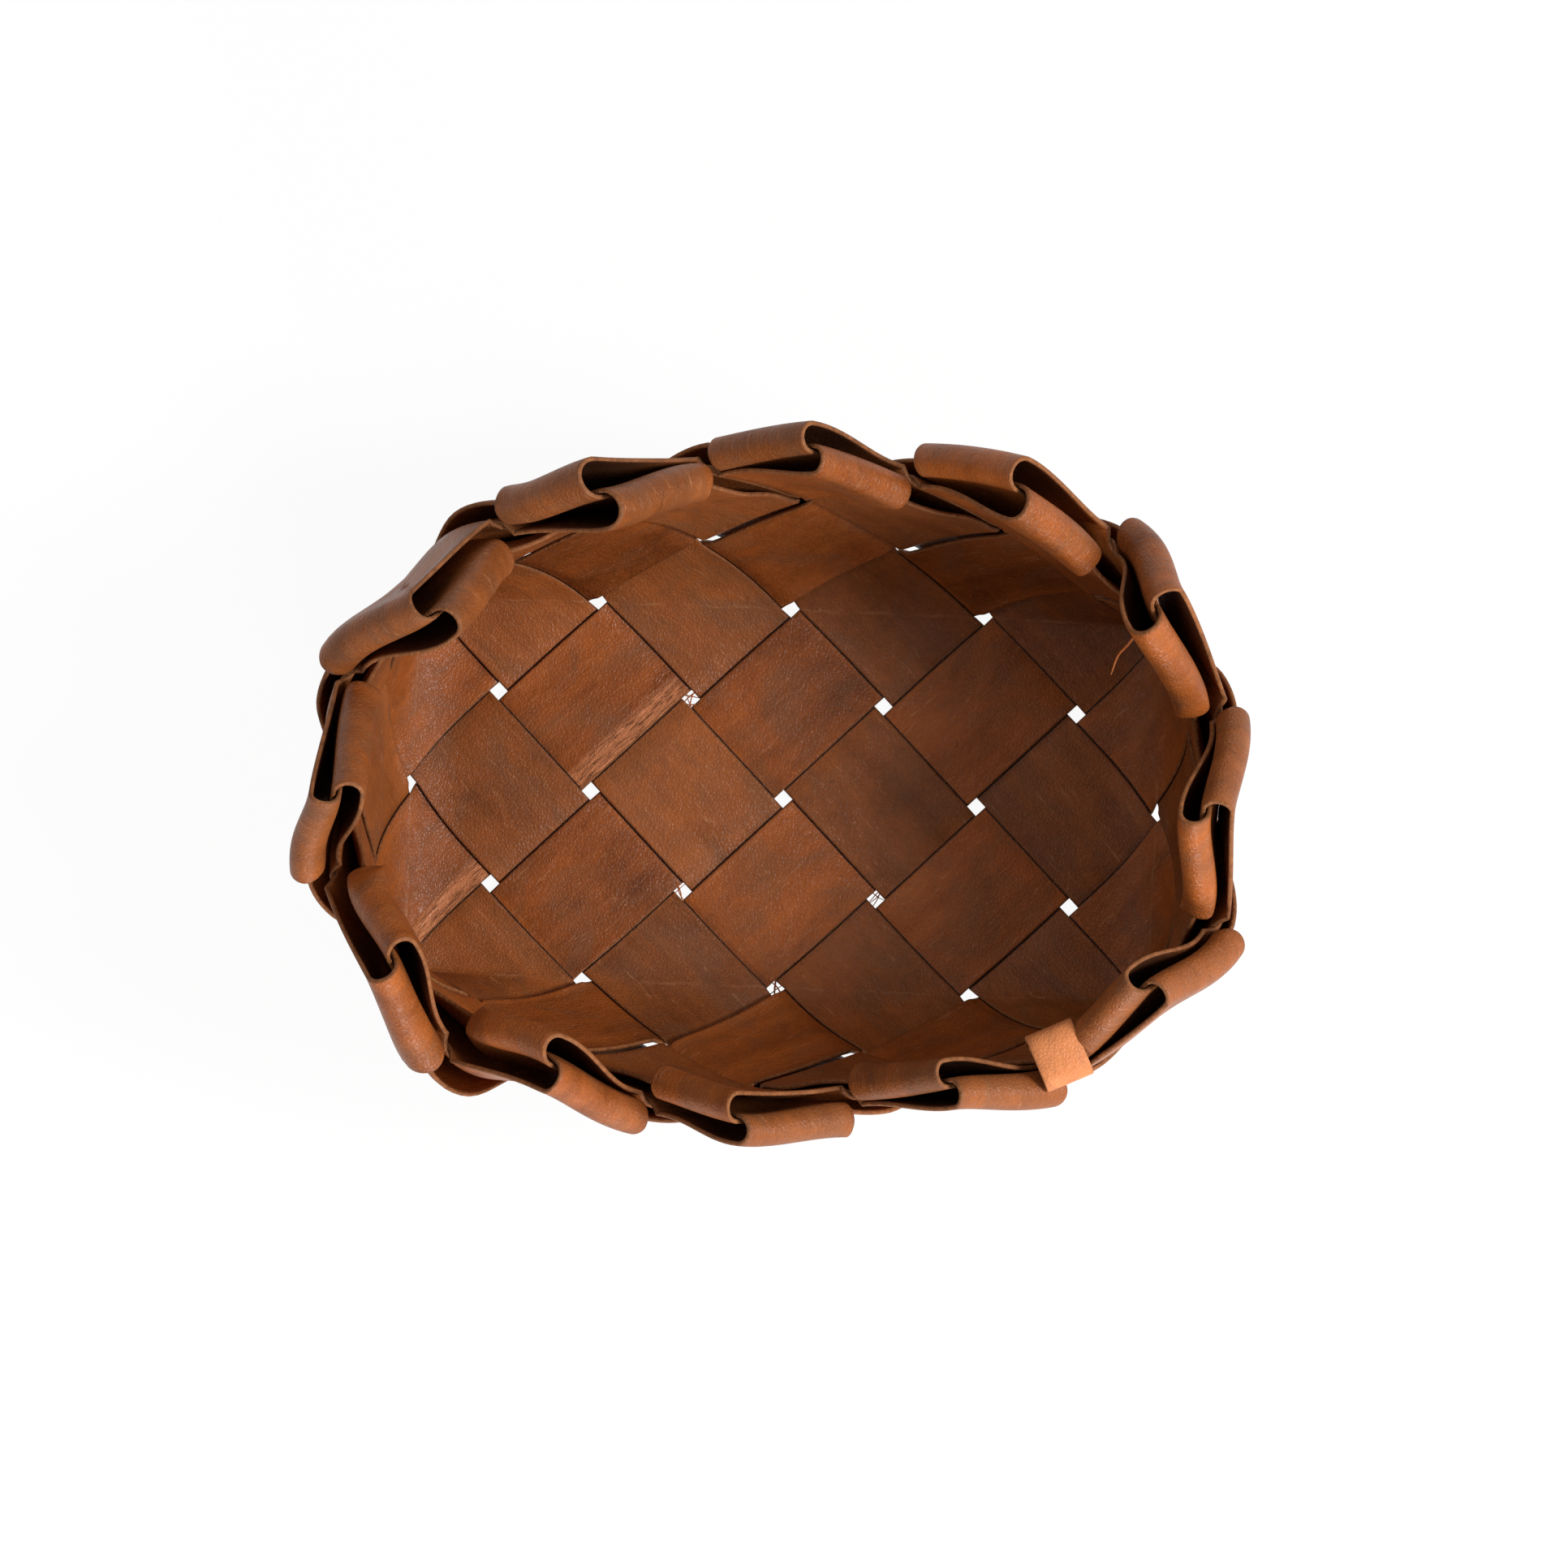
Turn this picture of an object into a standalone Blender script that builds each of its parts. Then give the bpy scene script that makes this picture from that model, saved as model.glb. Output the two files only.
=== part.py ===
# Oval storage basket plaited on the bias from twelve wide leather strips,
# with a rim of hooked, rolled folds and a small tan loop clasped over it.
# Metres, +Z up, X along the basket, origin under the middle of the base.

import math

import bmesh
import bpy
import numpy as np

# Strip and weave sizes
STRIP_WIDTH = 0.040
HOLE_SIDE = 0.005
LEATHER = 0.0018
LAYER_GAP = 0.0011
LEVEL_OVERRUN = 0.0006

# Base, counted in lattice cells, and the wall above it
BASE_COLUMNS = 4
BASE_ROWS = 2
WALL_CELLS = 2.0

# How far the rim stands out past the base, and how the wall gets there
END_SPLAY = 0.0075
SIDE_SPLAY = 0.0347
END_BULGE = 0.0030
SPLAY_POWER = 3.0
CORNER_ROUNDING_SHARE = 1.2
RIM_SQUARENESS = 2.35
RIM_TWIST_SHARE = 0.07
EDGE_BLEND = 0.024
END_START_SLOPE_SHARE = 0.20
SIDE_START_SLOPE_SHARE = 0.80
CORNER_RELIEF = 0.0025
CORNER_RELIEF_RUN = 0.024

# Rolled folds at the rim
ROLL_DEPTH_AT_PEAK = 0.0112
ROLL_DEPTH_AT_VALLEY = 0.0080
ROLL_CENTRE_SHARE = 0.45
ROLL_SWELL_SHARES = (0.34, 0.74)
ROLL_STEPS = 7
FOLD_CELL = 3

# Tail ends, trimmed and tucked under the next crossing strip
TUCK_LENGTH = 0.0050
TIP_THICKNESS = 0.0008
TUCK_WIDTH_SHARE = 0.84
TIP_WIDTH_SHARE = 0.60
TUCK_LIFT_SHARE = 1.0
TUCK_LEVEL_SHARE = 0.11
SKIVE_SHARE = 0.5

# Tan loop over the rim
TAN_LOOP_PLACE = 4.5
TAN_WIDTH = 0.0140
TAN_THICKNESS = 0.0015
TAN_LEG = 0.0170
TAN_CLEARANCE = 0.0006
TAN_ARCH_STEPS = 6

# How finely the shape is worked out
RIM_TABLE_STEPS = 2880
HEIGHT_STEPS = 12
PROBE_SHARE = 0.001
LEAST_ROUNDING_SHARE = 0.000001
SHARP_ANGLE = math.radians(40)

# Worked out from the sizes above
PITCH = STRIP_WIDTH + HOLE_SIDE
CELL = PITCH * math.sqrt(2)
LAYER = LEATHER + LAYER_GAP
BASE_X = BASE_COLUMNS / 2
BASE_Y = BASE_ROWS / 2
ROUND_CELLS = 2 * (BASE_COLUMNS + BASE_ROWS)
BASE_LEVEL = LAYER / 2 + LEATHER / 2
HALF_SHARE = STRIP_WIDTH / 2 / PITCH
THIRD_SHARE = HALF_SHARE / 3
LEVEL_SHARE = HALF_SHARE + LEVEL_OVERRUN / PITCH
CELL_STATIONS = (-LEVEL_SHARE, -THIRD_SHARE, THIRD_SHARE, LEVEL_SHARE)
WIDTH_STATIONS = (-1.0, -1 / 3, 1 / 3, 1.0)

LEATHER_LOOKS = {
    "brown_leather": ((0.200, 0.066, 0.026), 0.48),
    "dark_leather": ((0.130, 0.048, 0.024), 0.52),
    "tan_leather": ((0.600, 0.230, 0.090), 0.50),
}


def clear_scene():
    for old in list(bpy.data.objects):
        bpy.data.objects.remove(old, do_unlink=True)


def make_material(name):
    colour, roughness = LEATHER_LOOKS[name]
    material = bpy.data.materials.new(name)
    material.use_nodes = True
    shader = material.node_tree.nodes["Principled BSDF"]
    shader.inputs["Base Color"].default_value = (*colour, 1.0)
    shader.inputs["Roughness"].default_value = roughness
    shader.inputs["Metallic"].default_value = 0.0
    return material


# The rim's oval, read by distance along it

def rim_table():
    """Points of a squarish oval and their share of its length, clockwise from +Y."""
    turn = np.linspace(0.0, 2 * math.pi, RIM_TABLE_STEPS + 1)
    sine = np.sin(turn)
    cosine = np.cos(turn)
    powers = np.abs(sine) ** RIM_SQUARENESS + np.abs(cosine) ** RIM_SQUARENESS
    reach = powers ** (-1 / RIM_SQUARENESS)
    x = (BASE_X + END_SPLAY / CELL) * sine * reach
    y = (BASE_Y + SIDE_SPLAY / CELL) * cosine * reach
    steps = np.hypot(np.diff(x), np.diff(y))
    along = np.concatenate(([0.0], np.cumsum(steps)))
    return along / along[-1], x, y


RIM_ALONG, RIM_X, RIM_Y = rim_table()


def rim_point(u):
    share = ((u + RIM_TWIST_SHARE) / ROUND_CELLS) % 1.0
    return np.interp(share, RIM_ALONG, RIM_X), np.interp(share, RIM_ALONG, RIM_Y)


# The base's outline, with corners rounded over a run of cells

def base_corners():
    """Corner places in cells clockwise from +Y, with their point and the two run directions."""
    return (
        (BASE_X, (BASE_X, BASE_Y), (1, 0), (0, -1)),
        (BASE_X + BASE_ROWS, (BASE_X, -BASE_Y), (0, -1), (-1, 0)),
        (BASE_X + BASE_ROWS + BASE_COLUMNS, (-BASE_X, -BASE_Y), (-1, 0), (0, 1)),
        (ROUND_CELLS - BASE_X, (-BASE_X, BASE_Y), (0, 1), (1, 0)),
    )


def nearest_corner(u):
    """Signed distance in cells to the nearest corner, and that corner's data."""
    best = None
    for place, point, before, after in base_corners():
        offset = (u - place + ROUND_CELLS / 2) % ROUND_CELLS - ROUND_CELLS / 2
        data = [offset] + [np.full_like(u, value) for value in (*point, *before, *after)]
        if best is None:
            best = data
            continue
        closer = np.abs(offset) < np.abs(best[0])
        best = [np.where(closer, new, old) for new, old in zip(data, best)]
    return best


def base_point(u, rounding):
    offset, px, py, bx, by, ax, ay = nearest_corner(u)
    safe = np.maximum(rounding, LEAST_ROUNDING_SHARE)
    inside = np.abs(offset) < safe
    before = np.where(inside, -(safe - offset) ** 2 / (4 * safe), np.minimum(offset, 0.0))
    after = np.where(inside, (safe + offset) ** 2 / (4 * safe), np.maximum(offset, 0.0))
    return px + bx * before + ax * after, py + by * before + ay * after


def plan_point(u, v):
    """The wall's plan at height v up the slant, in cells."""
    climb = np.clip(v / WALL_CELLS, 0.0, 1.0)
    opened = 1 - (1 - climb) ** SPLAY_POWER
    rounding = 1 - np.exp(-CORNER_ROUNDING_SHARE * np.maximum(v, 0.0))
    low_x, low_y = base_point(u, rounding)
    rim_x, rim_y = rim_point(u)
    bulge = 1 + END_BULGE / CELL / BASE_X * np.sin(math.pi * climb)
    x = ((1 - opened) * low_x + opened * rim_x) * bulge
    y = (1 - opened) * low_y + opened * rim_y
    return x, y


def wall_height(u, v):
    """Height reached by going v up the slant, so that the leather keeps its length."""
    step = v / HEIGHT_STEPS
    height = np.zeros_like(u)
    x0, y0 = plan_point(u, np.zeros_like(v))
    for piece in range(1, HEIGHT_STEPS + 1):
        x1, y1 = plan_point(u, step * piece)
        flat = np.hypot(x1 - x0, y1 - y0)
        height += np.sqrt(np.maximum(step ** 2 - flat ** 2, 0.0))
        x0, y0 = x1, y1
    return height


def edge_blend(distance):
    blend = EDGE_BLEND / CELL
    return np.maximum(blend - distance, 0.0) ** 2 / (4 * blend)


def surface(x, y, side):
    """Middle surface of the basket at flat lattice point x, y, unfolded past one side."""
    outward = {"top": (0, 1), "right": (1, 0), "bottom": (0, -1), "left": (-1, 0)}[side]
    lengthwise = outward[0] != 0
    reach = BASE_X if lengthwise else BASE_Y
    v = x * outward[0] + y * outward[1] - reach
    along = x * outward[1] - y * outward[0]
    quarter = BASE_X + BASE_Y
    middle = {"top": 0, "right": quarter, "bottom": 2 * quarter, "left": 3 * quarter}[side]
    u = middle + along
    up = np.maximum(v, 0.0)
    on_wall = v > 0
    wall_x, wall_y = plan_point(u, up)
    px = np.where(on_wall, wall_x, x)
    py = np.where(on_wall, wall_y, y)
    pz = np.where(on_wall, wall_height(u, up), 0.0)
    offset, corner_x, corner_y = nearest_corner(u)[:3]
    past_corner = np.hypot(offset, up)
    from_end = u % (2 * quarter) - quarter
    on_end = on_wall & (np.abs(from_end) < BASE_Y)
    far_end = np.where(on_wall, np.where(on_end, up, past_corner), np.abs(BASE_X - np.abs(x)))
    far_side = np.where(on_wall, np.where(on_end, past_corner, up), np.abs(BASE_Y - np.abs(y)))
    end_sign = np.where(on_wall, np.sign(corner_x), np.sign(x))
    side_sign = np.where(on_wall, np.sign(corner_y), np.sign(y))
    for slope, amount, sign, axis in (
        (END_START_SLOPE_SHARE, edge_blend(far_end), end_sign, 0),
        (SIDE_START_SLOPE_SHARE, edge_blend(far_side), side_sign, 1),
    ):
        pz = pz + amount * math.sqrt(1 - slope ** 2)
        inward = (1 - slope) * amount * sign
        if axis == 0:
            px = px - inward
        else:
            py = py - inward
    return np.stack((px, py, pz), axis=-1) * CELL + np.array((0.0, 0.0, BASE_LEVEL))


def skin(x, y, side, lift):
    """Point at a distance lift inside the middle surface."""
    across = surface(x + PROBE_SHARE, y, side) - surface(x - PROBE_SHARE, y, side)
    along = surface(x, y + PROBE_SHARE, side) - surface(x, y - PROBE_SHARE, side)
    normal = np.cross(across, along)
    normal /= np.linalg.norm(normal, axis=-1, keepdims=True)
    return surface(x, y, side) + normal * lift[..., None]


# One strip: its line on the base, its profile and its solid

def chord(rising, shift):
    """Where the strip's middle line enters and leaves the base, with the sides it crosses."""
    slope = 1 if rising else -1
    corner_x = -shift / 2 if rising else shift / 2
    start = np.array((corner_x, shift / 2))
    direction = np.array((1.0, slope)) / math.sqrt(2)
    end_run = (BASE_X - start[0]) / direction[0]
    end_back = (-BASE_X - start[0]) / direction[0]
    side_run = (slope * BASE_Y - start[1]) / direction[1]
    side_back = (-slope * BASE_Y - start[1]) / direction[1]
    leave = min((end_run, "right"), (side_run, "top" if rising else "bottom"))
    enter = max((end_back, "left"), (side_back, "bottom" if rising else "top"))
    return start, direction, enter, leave


def end_is_outer_fold(rising, side):
    """True where the strip goes up anticlockwise and folds in over the outer face."""
    lengthwise = side in ("left", "right")
    return lengthwise == rising


def fold_depth(share):
    """Depth of the roll across the strip, from the valley edge at -1 to the peak edge at 1."""
    middle = (ROLL_DEPTH_AT_PEAK + ROLL_DEPTH_AT_VALLEY) / 2
    return middle + (ROLL_DEPTH_AT_PEAK - middle) * share


def end_profile(share):
    """Middle line of one end, as distance past the base edge in pitches, lift and thickness."""
    low = -1.5 * LAYER
    points = []
    for cell, lift in ((0, 0.5 * LAYER), (1, -TUCK_LIFT_SHARE * LAYER), (2, 0.5 * LAYER)):
        for station in CELL_STATIONS:
            points.append((cell + station, lift, LEATHER))
    depth = fold_depth(share)
    points.append((FOLD_CELL - LEVEL_SHARE, low, LEATHER))
    inner = (-THIRD_SHARE, THIRD_SHARE)
    for station, swell in zip(inner, ROLL_SWELL_SHARES):
        points.append((FOLD_CELL + station, low - (depth + low) * swell, LEATHER))
    roll = (depth + LAYER / 2) / 2
    centre = (LAYER / 2 - depth) / 2
    for step in range(ROLL_STEPS + 1):
        angle = math.pi * step / ROLL_STEPS
        reach = FOLD_CELL + ROLL_CENTRE_SHARE + roll * math.sin(angle) / PITCH
        points.append((reach, centre - roll * math.cos(angle), LEATHER))
    for station in (THIRD_SHARE, -THIRD_SHARE, -LEVEL_SHARE):
        points.append((FOLD_CELL + station, 0.5 * LAYER, LEATHER))
    skived = TIP_THICKNESS + (LEATHER - TIP_THICKNESS) * SKIVE_SHARE
    thicknesses = (LEATHER, LEATHER, LEATHER, skived)
    for station, thickness in zip(reversed(CELL_STATIONS), thicknesses):
        points.append((2 + station, 1.5 * LAYER, thickness))
    tuck = TUCK_LEVEL_SHARE * LAYER
    points.append((1 + LEVEL_SHARE, tuck, TIP_THICKNESS))
    points.append((1 + LEVEL_SHARE - TUCK_LENGTH / PITCH, tuck, TIP_THICKNESS))
    return points


def width_shares():
    """Half width along one end's profile, as a share of the strip's own."""
    count = len(end_profile(0.0))
    return [1.0] * (count - 2) + [TUCK_WIDTH_SHARE, TIP_WIDTH_SHARE]


def strip_line(rising, shift, share):
    """The whole middle line of a strip at one place across it."""
    start, direction, enter, leave = chord(rising, shift)
    points = []
    for reach, side, way in ((enter[0], enter[1], -1), (leave[0], leave[1], 1)):
        outer = end_is_outer_fold(rising, side)
        sign = 1 if outer else -1
        towards_peak = peak_share(rising, side, way, share)
        run = []
        for past, lift, thickness in end_profile(towards_peak):
            run.append((reach + way * past / math.sqrt(2), sign * lift, thickness, side))
        if way < 0:
            points.extend(reversed(run))
            continue
        cells = round((leave[0] - enter[0]) * math.sqrt(2))
        first = 1 if end_is_outer_fold(rising, enter[1]) else -1
        for cell in range(1, cells):
            level = first * (-1) ** cell * LAYER / 2
            for station in CELL_STATIONS:
                points.append((enter[0] + (cell + station) / math.sqrt(2), level, LEATHER, side))
        points.extend(run)
    return points


def peak_share(rising, side, way, share):
    """Place across the strip counted towards the peak of its fold at this end."""
    left_of_run = share * way
    return -left_of_run if end_is_outer_fold(rising, side) else left_of_run


def both_faces(points):
    """Outer and inner lines of the profile, half its thickness either side of the middle."""
    flat = np.array([(point[0] * CELL, point[1]) for point in points])
    steps = np.diff(flat, axis=0)
    steps /= np.linalg.norm(steps, axis=1, keepdims=True)
    before = np.vstack((steps[:1], steps))
    after = np.vstack((steps, steps[-1:]))
    bisector = before + after
    bisector /= np.linalg.norm(bisector, axis=1, keepdims=True)
    across = np.stack((-bisector[:, 1], bisector[:, 0]), axis=1)
    half_turn = np.sum(bisector * after, axis=1)
    half = np.array([point[2] for point in points]) / 2 / half_turn
    return flat + across * half[:, None], flat - across * half[:, None]


def relieve_corners(along, sideways, share, start, direction, across):
    """Edge of the strip drawn in a little where it passes a corner of the base."""
    for x in (-BASE_X, BASE_X):
        for y in (-BASE_Y, BASE_Y):
            to_corner = np.array((x, y)) - start
            beside = to_corner @ across * CELL
            if abs(share) < 1 or beside * share < 0 or abs(beside) > PITCH:
                continue
            gap = np.abs(along - to_corner @ direction) * CELL
            pull = CORNER_RELIEF * np.maximum(1 - gap / CORNER_RELIEF_RUN, 0.0)
            sideways = sideways - share * pull / CELL
    return sideways


def strip_vertices(rising, shift):
    """Grid of points for both faces, indexed face, station along, station across."""
    start, direction, enter, leave = chord(rising, shift)
    across = np.array((-direction[1], direction[0]))
    end_widths = width_shares()
    cells = round((leave[0] - enter[0]) * math.sqrt(2))
    flat_run = [1.0] * (len(CELL_STATIONS) * (cells - 1))
    widths = np.array(end_widths[::-1] + flat_run + end_widths)
    grids = []
    for share in WIDTH_STATIONS:
        line = strip_line(rising, shift, share)
        columns = []
        for face in both_faces(line):
            along = face[:, 0] / CELL
            sideways = share * widths * HALF_SHARE / math.sqrt(2)
            sideways = relieve_corners(along, sideways, share, start, direction, across)
            x = start[0] + direction[0] * along + across[0] * sideways
            y = start[1] + direction[1] * along + across[1] * sideways
            middle = (enter[0] + leave[0]) / 2
            near = skin(x, y, enter[1], face[:, 1])
            far = skin(x, y, leave[1], face[:, 1])
            columns.append(np.where((along < middle)[:, None], near, far))
        grids.append(np.stack(columns))
    return np.stack(grids, axis=2)


def solid_from_grids(name, grids, material):
    """Closed body between the two faces of a grid of points, split along level diagonals."""
    mesh = bpy.data.meshes.new(name)
    body = bmesh.new()
    faces, rows, columns = grids.shape[:3]
    heights = grids[..., 2].mean(axis=0)
    points = [[[body.verts.new(grids[f, r, c]) for c in range(columns)] for r in range(rows)]
              for f in range(faces)]

    def add_quad(a, b, c, d, split_first=True):
        if split_first:
            body.faces.new((a, b, c))
            body.faces.new((a, c, d))
        else:
            body.faces.new((b, c, d))
            body.faces.new((b, d, a))

    upper, lower = points
    for r in range(rows - 1):
        for c in range(columns - 1):
            fall = abs(heights[r, c] - heights[r + 1, c + 1])
            rise = abs(heights[r + 1, c] - heights[r, c + 1])
            level = fall <= rise
            add_quad(upper[r][c], upper[r + 1][c], upper[r + 1][c + 1], upper[r][c + 1], level)
            add_quad(lower[r][c], lower[r][c + 1], lower[r + 1][c + 1], lower[r + 1][c], level)
        add_quad(lower[r][0], lower[r + 1][0], upper[r + 1][0], upper[r][0])
        add_quad(upper[r][-1], upper[r + 1][-1], lower[r + 1][-1], lower[r][-1])
    for c in range(columns - 1):
        add_quad(lower[0][c + 1], lower[0][c], upper[0][c], upper[0][c + 1])
        add_quad(upper[-1][c + 1], upper[-1][c], lower[-1][c], lower[-1][c + 1])
    bmesh.ops.recalc_face_normals(body, faces=body.faces[:])
    body.to_mesh(mesh)
    body.free()
    mesh.materials.append(material)
    mesh.shade_smooth()
    mesh.set_sharp_from_angle(angle=SHARP_ANGLE)
    solid = bpy.data.objects.new(name, mesh)
    bpy.context.collection.objects.link(solid)
    return solid


def make_strips():
    brown = make_material("brown_leather")
    dark = make_material("dark_leather")
    per_way = BASE_COLUMNS + BASE_ROWS
    for index in range(per_way):
        shift = index - (per_way - 1) / 2
        for way, rising, look in (("rising", True, brown), ("falling", False, dark)):
            name = f"{way}_strip_{index + 1}"
            solid_from_grids(name, strip_vertices(rising, shift), look)


# Tan loop: a band bent over the rim, with one leg inside and one outside

def tan_profile():
    """Middle line of the loop's band, as height in metres past the rim's valley and lift."""
    depth = fold_depth(TAN_WIDTH / STRIP_WIDTH - 1)
    roll = (depth + LAYER / 2) / 2
    rise = TAN_WIDTH / 2 + (ROLL_CENTRE_SHARE - HALF_SHARE) * PITCH + roll + LEATHER
    radius = depth + LEATHER / 2 + TAN_CLEARANCE + TAN_THICKNESS / 2
    arch = radius / 2
    points = [(rise - radius - TAN_LEG, radius)]
    points.append((rise - arch, radius))
    for step in range(TAN_ARCH_STEPS + 1):
        angle = math.pi * step / TAN_ARCH_STEPS
        points.append((rise + arch * math.sin(angle), radius * math.cos(angle)))
    points.append((rise - arch, -radius))
    points.append((rise - radius - TAN_LEG, -radius))
    return points


def make_tan_loop():
    points = tan_profile()
    line = [(point[0] / CELL, point[1], TAN_THICKNESS) for point in points]
    grids = []
    fold_middle = BASE_Y + FOLD_CELL / 2
    for share in WIDTH_STATIONS:
        columns = []
        for face in both_faces(line):
            along = np.full(len(line), share * TAN_WIDTH / 2 / CELL)
            x = ROUND_CELLS / 2 - TAN_LOOP_PLACE + along
            y = -(fold_middle + face[:, 0] / CELL)
            columns.append(skin(x, y, "bottom", face[:, 1]))
        grids.append(np.stack(columns))
    solid_from_grids("tan_loop", np.stack(grids, axis=2), make_material("tan_leather"))


def main():
    clear_scene()
    make_strips()
    make_tan_loop()


main()
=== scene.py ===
import math

import bpy
import numpy as np
from mathutils import Matrix, Vector


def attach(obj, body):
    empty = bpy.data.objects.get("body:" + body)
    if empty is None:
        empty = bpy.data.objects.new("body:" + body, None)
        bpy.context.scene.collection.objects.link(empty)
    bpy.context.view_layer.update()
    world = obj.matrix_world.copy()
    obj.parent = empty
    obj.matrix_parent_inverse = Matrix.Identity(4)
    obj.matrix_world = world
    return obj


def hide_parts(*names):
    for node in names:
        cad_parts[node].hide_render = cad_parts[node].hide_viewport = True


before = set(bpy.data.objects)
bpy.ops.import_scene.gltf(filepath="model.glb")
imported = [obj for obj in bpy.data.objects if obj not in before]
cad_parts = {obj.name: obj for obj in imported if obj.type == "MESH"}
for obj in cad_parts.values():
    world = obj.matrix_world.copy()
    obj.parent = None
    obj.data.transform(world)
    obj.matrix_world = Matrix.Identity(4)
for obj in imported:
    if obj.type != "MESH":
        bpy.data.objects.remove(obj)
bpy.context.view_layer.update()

# Strip and weave sizes in metres. The pitch is the CAD's. The leather is thinner than the CAD's and
# its layers lie closer, most of all on the base, where they are pressed.
STRIP_WIDTH = 0.0408
PITCH = 0.045
CELL = PITCH * math.sqrt(2)
LEATHER = 0.0015
PRESSED = 0.0011
TIP_THICKNESS = 0.0008
LAYER = 0.0018
PRESSED_LAYER = 0.00125
FLOOR_CLEARANCE = 0.0004
BASE_LEVEL = PRESSED_LAYER / 2 + PRESSED / 2 + FLOOR_CLEARANCE
HALF_SHARE = STRIP_WIDTH / 2 / PITCH
PER_WAY = 6

# The base's half sides, the way round and the wall's climb, all in cells. A cell is the way
# along the base's edge from one strip to the next.
BASE_X, BASE_Y = 2.0, 1.0
ROUND_CELLS = 12
WALL_CELLS = 2.0

# The wall's splay and bulge, and its bends, as in the CAD but for a slightly tighter bend
END_SPLAY = 0.0075
SIDE_SPLAY = 0.0347
END_BULGE = 0.0030
SPLAY_POWER = 3.0
CORNER_ROUNDING_SHARE = 1.2
RIM_SQUARENESS = 2.35
RIM_TWIST_SHARE = 0.07
EDGE_BLEND = 0.022
END_START_SLOPE = 0.20
SIDE_START_SLOPE = 0.80
RIM_TABLE_STEPS = 2880
HEIGHT_STEPS = 12
HALF_ROUND = ROUND_CELLS / 2

# Places along a strip, in pitches past the base's edge. The rim's roll is in cell 3.
TUCK_CELL, TAIL_CELL, ROLL_CELL = 1, 2, 3
ROLL_CENTRE = 0.45
ROW_REACH = 0.44
SLOPE_START = 0.38
SLOPE_RUN = 1 - 2 * SLOPE_START


def smooth(t):
    t = np.clip(t, 0.0, 1.0)
    return t * t * (3 - 2 * t)


# The rim's oval and the wall between it and the base

def rim_table():
    turn = np.linspace(0.0, 2 * math.pi, RIM_TABLE_STEPS + 1)
    sine, cosine = np.sin(turn), np.cos(turn)
    squared = np.abs(sine) ** RIM_SQUARENESS + np.abs(cosine) ** RIM_SQUARENESS
    reach = squared ** (-1 / RIM_SQUARENESS)
    x = (BASE_X + END_SPLAY / CELL) * sine * reach
    y = (BASE_Y + SIDE_SPLAY / CELL) * cosine * reach
    along = np.concatenate(([0.0], np.cumsum(np.hypot(np.diff(x), np.diff(y)))))
    return along / along[-1], x, y


RIM_ALONG, RIM_XS, RIM_YS = rim_table()


def rim_point(u):
    """The rim's plan place at u, which counts cells clockwise from the middle of the top side."""
    share = ((u + RIM_TWIST_SHARE) / ROUND_CELLS) % 1.0
    return np.interp(share, RIM_ALONG, RIM_XS), np.interp(share, RIM_ALONG, RIM_YS)


# Each base corner: its place round, its plan place and the ways along the edge before and after it
CORNERS = (
    (2.0, (BASE_X, BASE_Y), (1, 0), (0, -1)),
    (4.0, (BASE_X, -BASE_Y), (0, -1), (-1, 0)),
    (8.0, (-BASE_X, -BASE_Y), (-1, 0), (0, 1)),
    (10.0, (-BASE_X, BASE_Y), (0, 1), (1, 0)),
)


def way_round(u, place):
    """Signed distance round the basket from a place to u, in cells."""
    return (u - place + HALF_ROUND) % ROUND_CELLS - HALF_ROUND


def nearest_corner(u):
    best = None
    for place, point, before, after in CORNERS:
        offset = way_round(u, place)
        data = [offset] + [np.full_like(u, value) for value in (*point, *before, *after)]
        if best is None:
            best = data
            continue
        closer = np.abs(offset) < np.abs(best[0])
        best = [np.where(closer, new, old) for new, old in zip(data, best)]
    return best


def base_point(u, rounding):
    """Place on the base's edge, with its corners cut round by so many cells."""
    offset, px, py, bx, by, ax, ay = nearest_corner(u)
    safe = np.maximum(rounding, 1e-6)
    inside = np.abs(offset) < safe
    before = np.where(inside, -(safe - offset) ** 2 / (4 * safe), np.minimum(offset, 0.0))
    after = np.where(inside, (safe + offset) ** 2 / (4 * safe), np.maximum(offset, 0.0))
    return px + bx * before + ax * after, py + by * before + ay * after


def plan_point(u, v):
    """Plan place of the wall at u round it and v cells up its slope."""
    climb = np.clip(v / WALL_CELLS, 0.0, 1.0)
    opened = 1 - (1 - climb) ** SPLAY_POWER
    rounding = 1 - np.exp(-CORNER_ROUNDING_SHARE * np.maximum(v, 0.0))
    low_x, low_y = base_point(u, rounding)
    rim_x, rim_y = rim_point(u)
    bulge = 1 + END_BULGE / CELL / BASE_X * np.sin(math.pi * climb)
    return ((1 - opened) * low_x + opened * rim_x) * bulge, (1 - opened) * low_y + opened * rim_y


def wall_height(u, v):
    """Height that leaves each stretch of the slope its own length."""
    step = v / HEIGHT_STEPS
    height = np.zeros_like(u)
    x0, y0 = plan_point(u, np.zeros_like(v))
    for count in range(1, HEIGHT_STEPS + 1):
        x1, y1 = plan_point(u, step * count)
        height += np.sqrt(np.maximum(step ** 2 - (x1 - x0) ** 2 - (y1 - y0) ** 2, 0.0))
        x0, y0 = x1, y1
    return height


def edge_blend(distance):
    """Amount of the bend between base and wall at a distance from its edge."""
    blend = EDGE_BLEND / CELL
    return np.maximum(blend - distance, 0.0) ** 2 / (4 * blend)


OUTWARD = {"top": (0, 1), "right": (1, 0), "bottom": (0, -1), "left": (-1, 0)}
MIDDLE = {"top": 0.0, "right": 3.0, "bottom": 6.0, "left": 9.0}

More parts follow.
